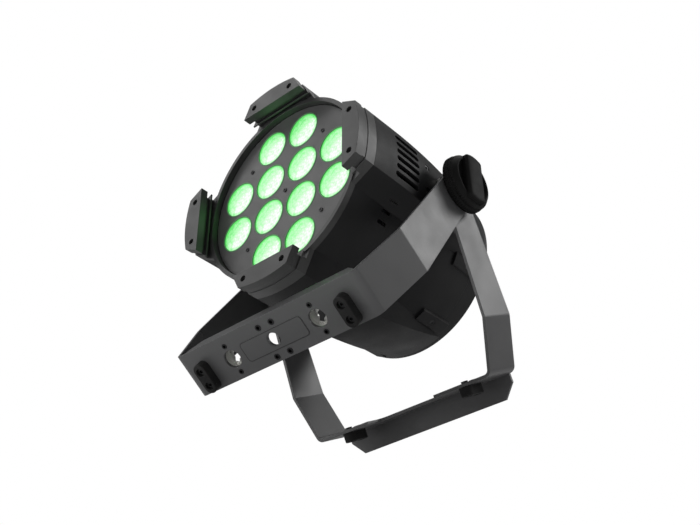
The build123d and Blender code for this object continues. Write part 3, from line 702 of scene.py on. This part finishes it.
for side, name in ((1, "knob_right"), (-1, "knob_left")):
    low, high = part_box(name)
    knob = mesh_object(f"{name}_grip", knob_mesh(), KNOB_BLACK, 22)
    inner_x = low.x if side > 0 else high.x
    turn = Matrix.Identity(4) if side > 0 else Matrix.Rotation(math.pi, 4, "Z")
    knob.matrix_world = Matrix.Translation((inner_x, PIVOT.y, PIVOT.z)) @ turn
    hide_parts(name)
    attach(knob, "right_knob" if side > 0 else "left_knob")

# ---- label border on the base -------------------------------------------------------------

# All in millimetres; lifts are measured from the sheet's underside.
LABEL_HALF_LONG = 37.7
LABEL_HALF_WIDE = 10.0
LABEL_CORNER = 3.8
LINE_WIDTH = 0.6
LINE_LOW = 0.26
LINE_HIGH = 0.32
HALF_SHEET = 1.5
CORNER_STEPS = 8


def rounded_outline(half_long, half_wide, corner):
    """Points round a rectangle with rounded corners."""
    points = []
    for cx, cy, start in ((1, 1, 0), (-1, 1, 90), (-1, -1, 180), (1, -1, 270)):
        for k in range(CORNER_STEPS + 1):
            angle = math.radians(start + 90 * k / CORNER_STEPS)
            points.append((cx * (half_long - corner) + corner * math.cos(angle),
                           cy * (half_wide - corner) + corner * math.sin(angle)))
    return points


def label_border():
    """Thin printed line round the label's edge, standing just proud of it."""
    hole = next(m for m in frame["record"]["mounts"] if m["name"] == "centre_hole")
    down = Vector(hole["axis"]).normalized()
    long_way = Vector((1, 0, 0))
    across = down.cross(long_way)
    middle = Vector(hole["pos_m"]) + down * HALF_SHEET * MM
    section = ((0.0, LINE_LOW), (0.0, LINE_HIGH), (LINE_WIDTH, LINE_HIGH), (LINE_WIDTH, LINE_LOW))
    bm = bmesh.new()
    rings = []
    for inset, lift in section:
        ring = []
        sizes = (LABEL_HALF_LONG, LABEL_HALF_WIDE, LABEL_CORNER)
        for a, b in rounded_outline(*(size - inset for size in sizes)):
            ring.append(bm.verts.new(middle + long_way * a * MM + across * b * MM + down * lift * MM))
        rings.append(ring)
    for k, first in enumerate(rings):
        second = rings[(k + 1) % len(rings)]
        for i in range(len(first)):
            j = (i + 1) % len(first)
            bm.faces.new((first[i], first[j], second[j], second[i]))
    return bm


INK = moulded("border_ink", (0.006, 0.006, 0.006), 0.5, 0.1, 0.00005)
border = mesh_object("label_border", label_border(), INK)
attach(border, "front_yoke")

# ---- floor, light and camera --------------------------------------------------------------

FLOOR_HALF_SIZE = 4.0
FLOOR_GLOW = 0.36
FLOOR_GAP = 0.2 * MM  # under the feet
WORLD_LIGHT = 0.16  # the world's strength as light on the model
WORLD_SEEN = 1.0  # and as the white backdrop
STUDIO_MIDDLE = (0.0, 0.0, 0.16)


def pale_floor():
    """Plain floor seen from above; from below it lets the view through, as glass would."""
    bm = bmesh.new()
    bmesh.ops.create_grid(bm, x_segments=8, y_segments=8, size=FLOOR_HALF_SIZE)
    made = Surface("studio_floor", (0.80, 0.80, 0.80), 0.55)
    made.shader.inputs["Emission Color"].default_value = (1.0, 1.0, 1.0, 1.0)
    made.shader.inputs["Emission Strength"].default_value = FLOOR_GLOW
    made.tint(made.maths("MULTIPLY", made.noise(3.0), 0.15), (0.76, 0.76, 0.765))
    made.vary_rough(made.noise(6.0), 0.3, 0.7, 0.05)
    clear = made.node("ShaderNodeBsdfTransparent")
    mix = made.node("ShaderNodeMixShader")
    made.link(made.node("ShaderNodeNewGeometry").outputs["Backfacing"], mix.inputs["Fac"])
    made.link(made.shader.outputs["BSDF"], mix.inputs[1])
    made.link(clear.outputs["BSDF"], mix.inputs[2])
    made.link(mix.outputs["Shader"], made.tree.nodes["Material Output"].inputs["Surface"])
    floor = mesh_object("floor", bm, made)
    floor.location.z = CAD_BOX[0].z - FLOOR_GAP


def softbox(name, place, width, height, watts):
    """White studio lamp aimed at the middle of the light."""
    lamp = bpy.data.lights.new(name, "AREA")
    lamp.shape = "RECTANGLE"
    lamp.size = width
    lamp.size_y = height
    lamp.energy = watts
    made = bpy.data.objects.new(name, lamp)
    SCENE.collection.objects.link(made)
    made.location = place
    made.rotation_euler = (Vector(STUDIO_MIDDLE) - Vector(place)).to_track_quat("-Z", "Y").to_euler()


def studio():
    """White backdrop, dim as light, and four softboxes."""
    world = bpy.data.worlds.new("studio")
    SCENE.world = world
    world.use_nodes = True
    nodes, links = world.node_tree.nodes, world.node_tree.links
    background = nodes["Background"]
    background.inputs["Color"].default_value = (1.0, 1.0, 1.0, 1.0)
    seen = nodes.new("ShaderNodeLightPath").outputs["Is Camera Ray"]
    strength = nodes.new("ShaderNodeMapRange")
    strength.inputs["To Min"].default_value = WORLD_LIGHT
    strength.inputs["To Max"].default_value = WORLD_SEEN
    links.new(seen, strength.inputs["Value"])
    links.new(strength.outputs["Result"], background.inputs["Strength"])
    softbox("key", (-1.3, -1.0, 1.8), 1.3, 1.3, 10.0)
    softbox("side", (1.6, 1.5, 1.3), 1.0, 1.0, 19.0)
    softbox("top", (0.2, 0.3, 2.2), 1.6, 1.6, 14.0)
    softbox("front", (-0.5, -1.5, 0.15), 1.4, 0.5, 14.0)


def camera():
    """Low three-quarter view, looking up at the base and the lenses.

    The place and the axes are given in the head's own frame, then tilted with it.
    """
    data = bpy.data.cameras.new("camera")
    data.sensor_width = 36.0
    data.lens = 57.4
    made = bpy.data.objects.new("camera", data)
    SCENE.collection.objects.link(made)
    right = Vector((0.748, 0.664, 0.001))
    down = Vector((-0.379, 0.427, -0.821))
    ahead = Vector((-0.545, 0.614, 0.571))
    axes = Matrix((right, -down, -ahead)).transposed()
    tilt = Matrix.Rotation(HEAD_TILT, 3, "X")
    place = Vector((0.6172, -0.7083, -0.6825))
    made.matrix_world = Matrix.Translation(PIVOT + tilt @ place) @ (tilt @ axes).to_4x4()
    data.clip_start = 0.05
    data.clip_end = 50.0
    SCENE.camera = made


pale_floor()
studio()
camera()
SCENE.view_settings.view_transform = "Standard"
SCENE.view_settings.look = "None"
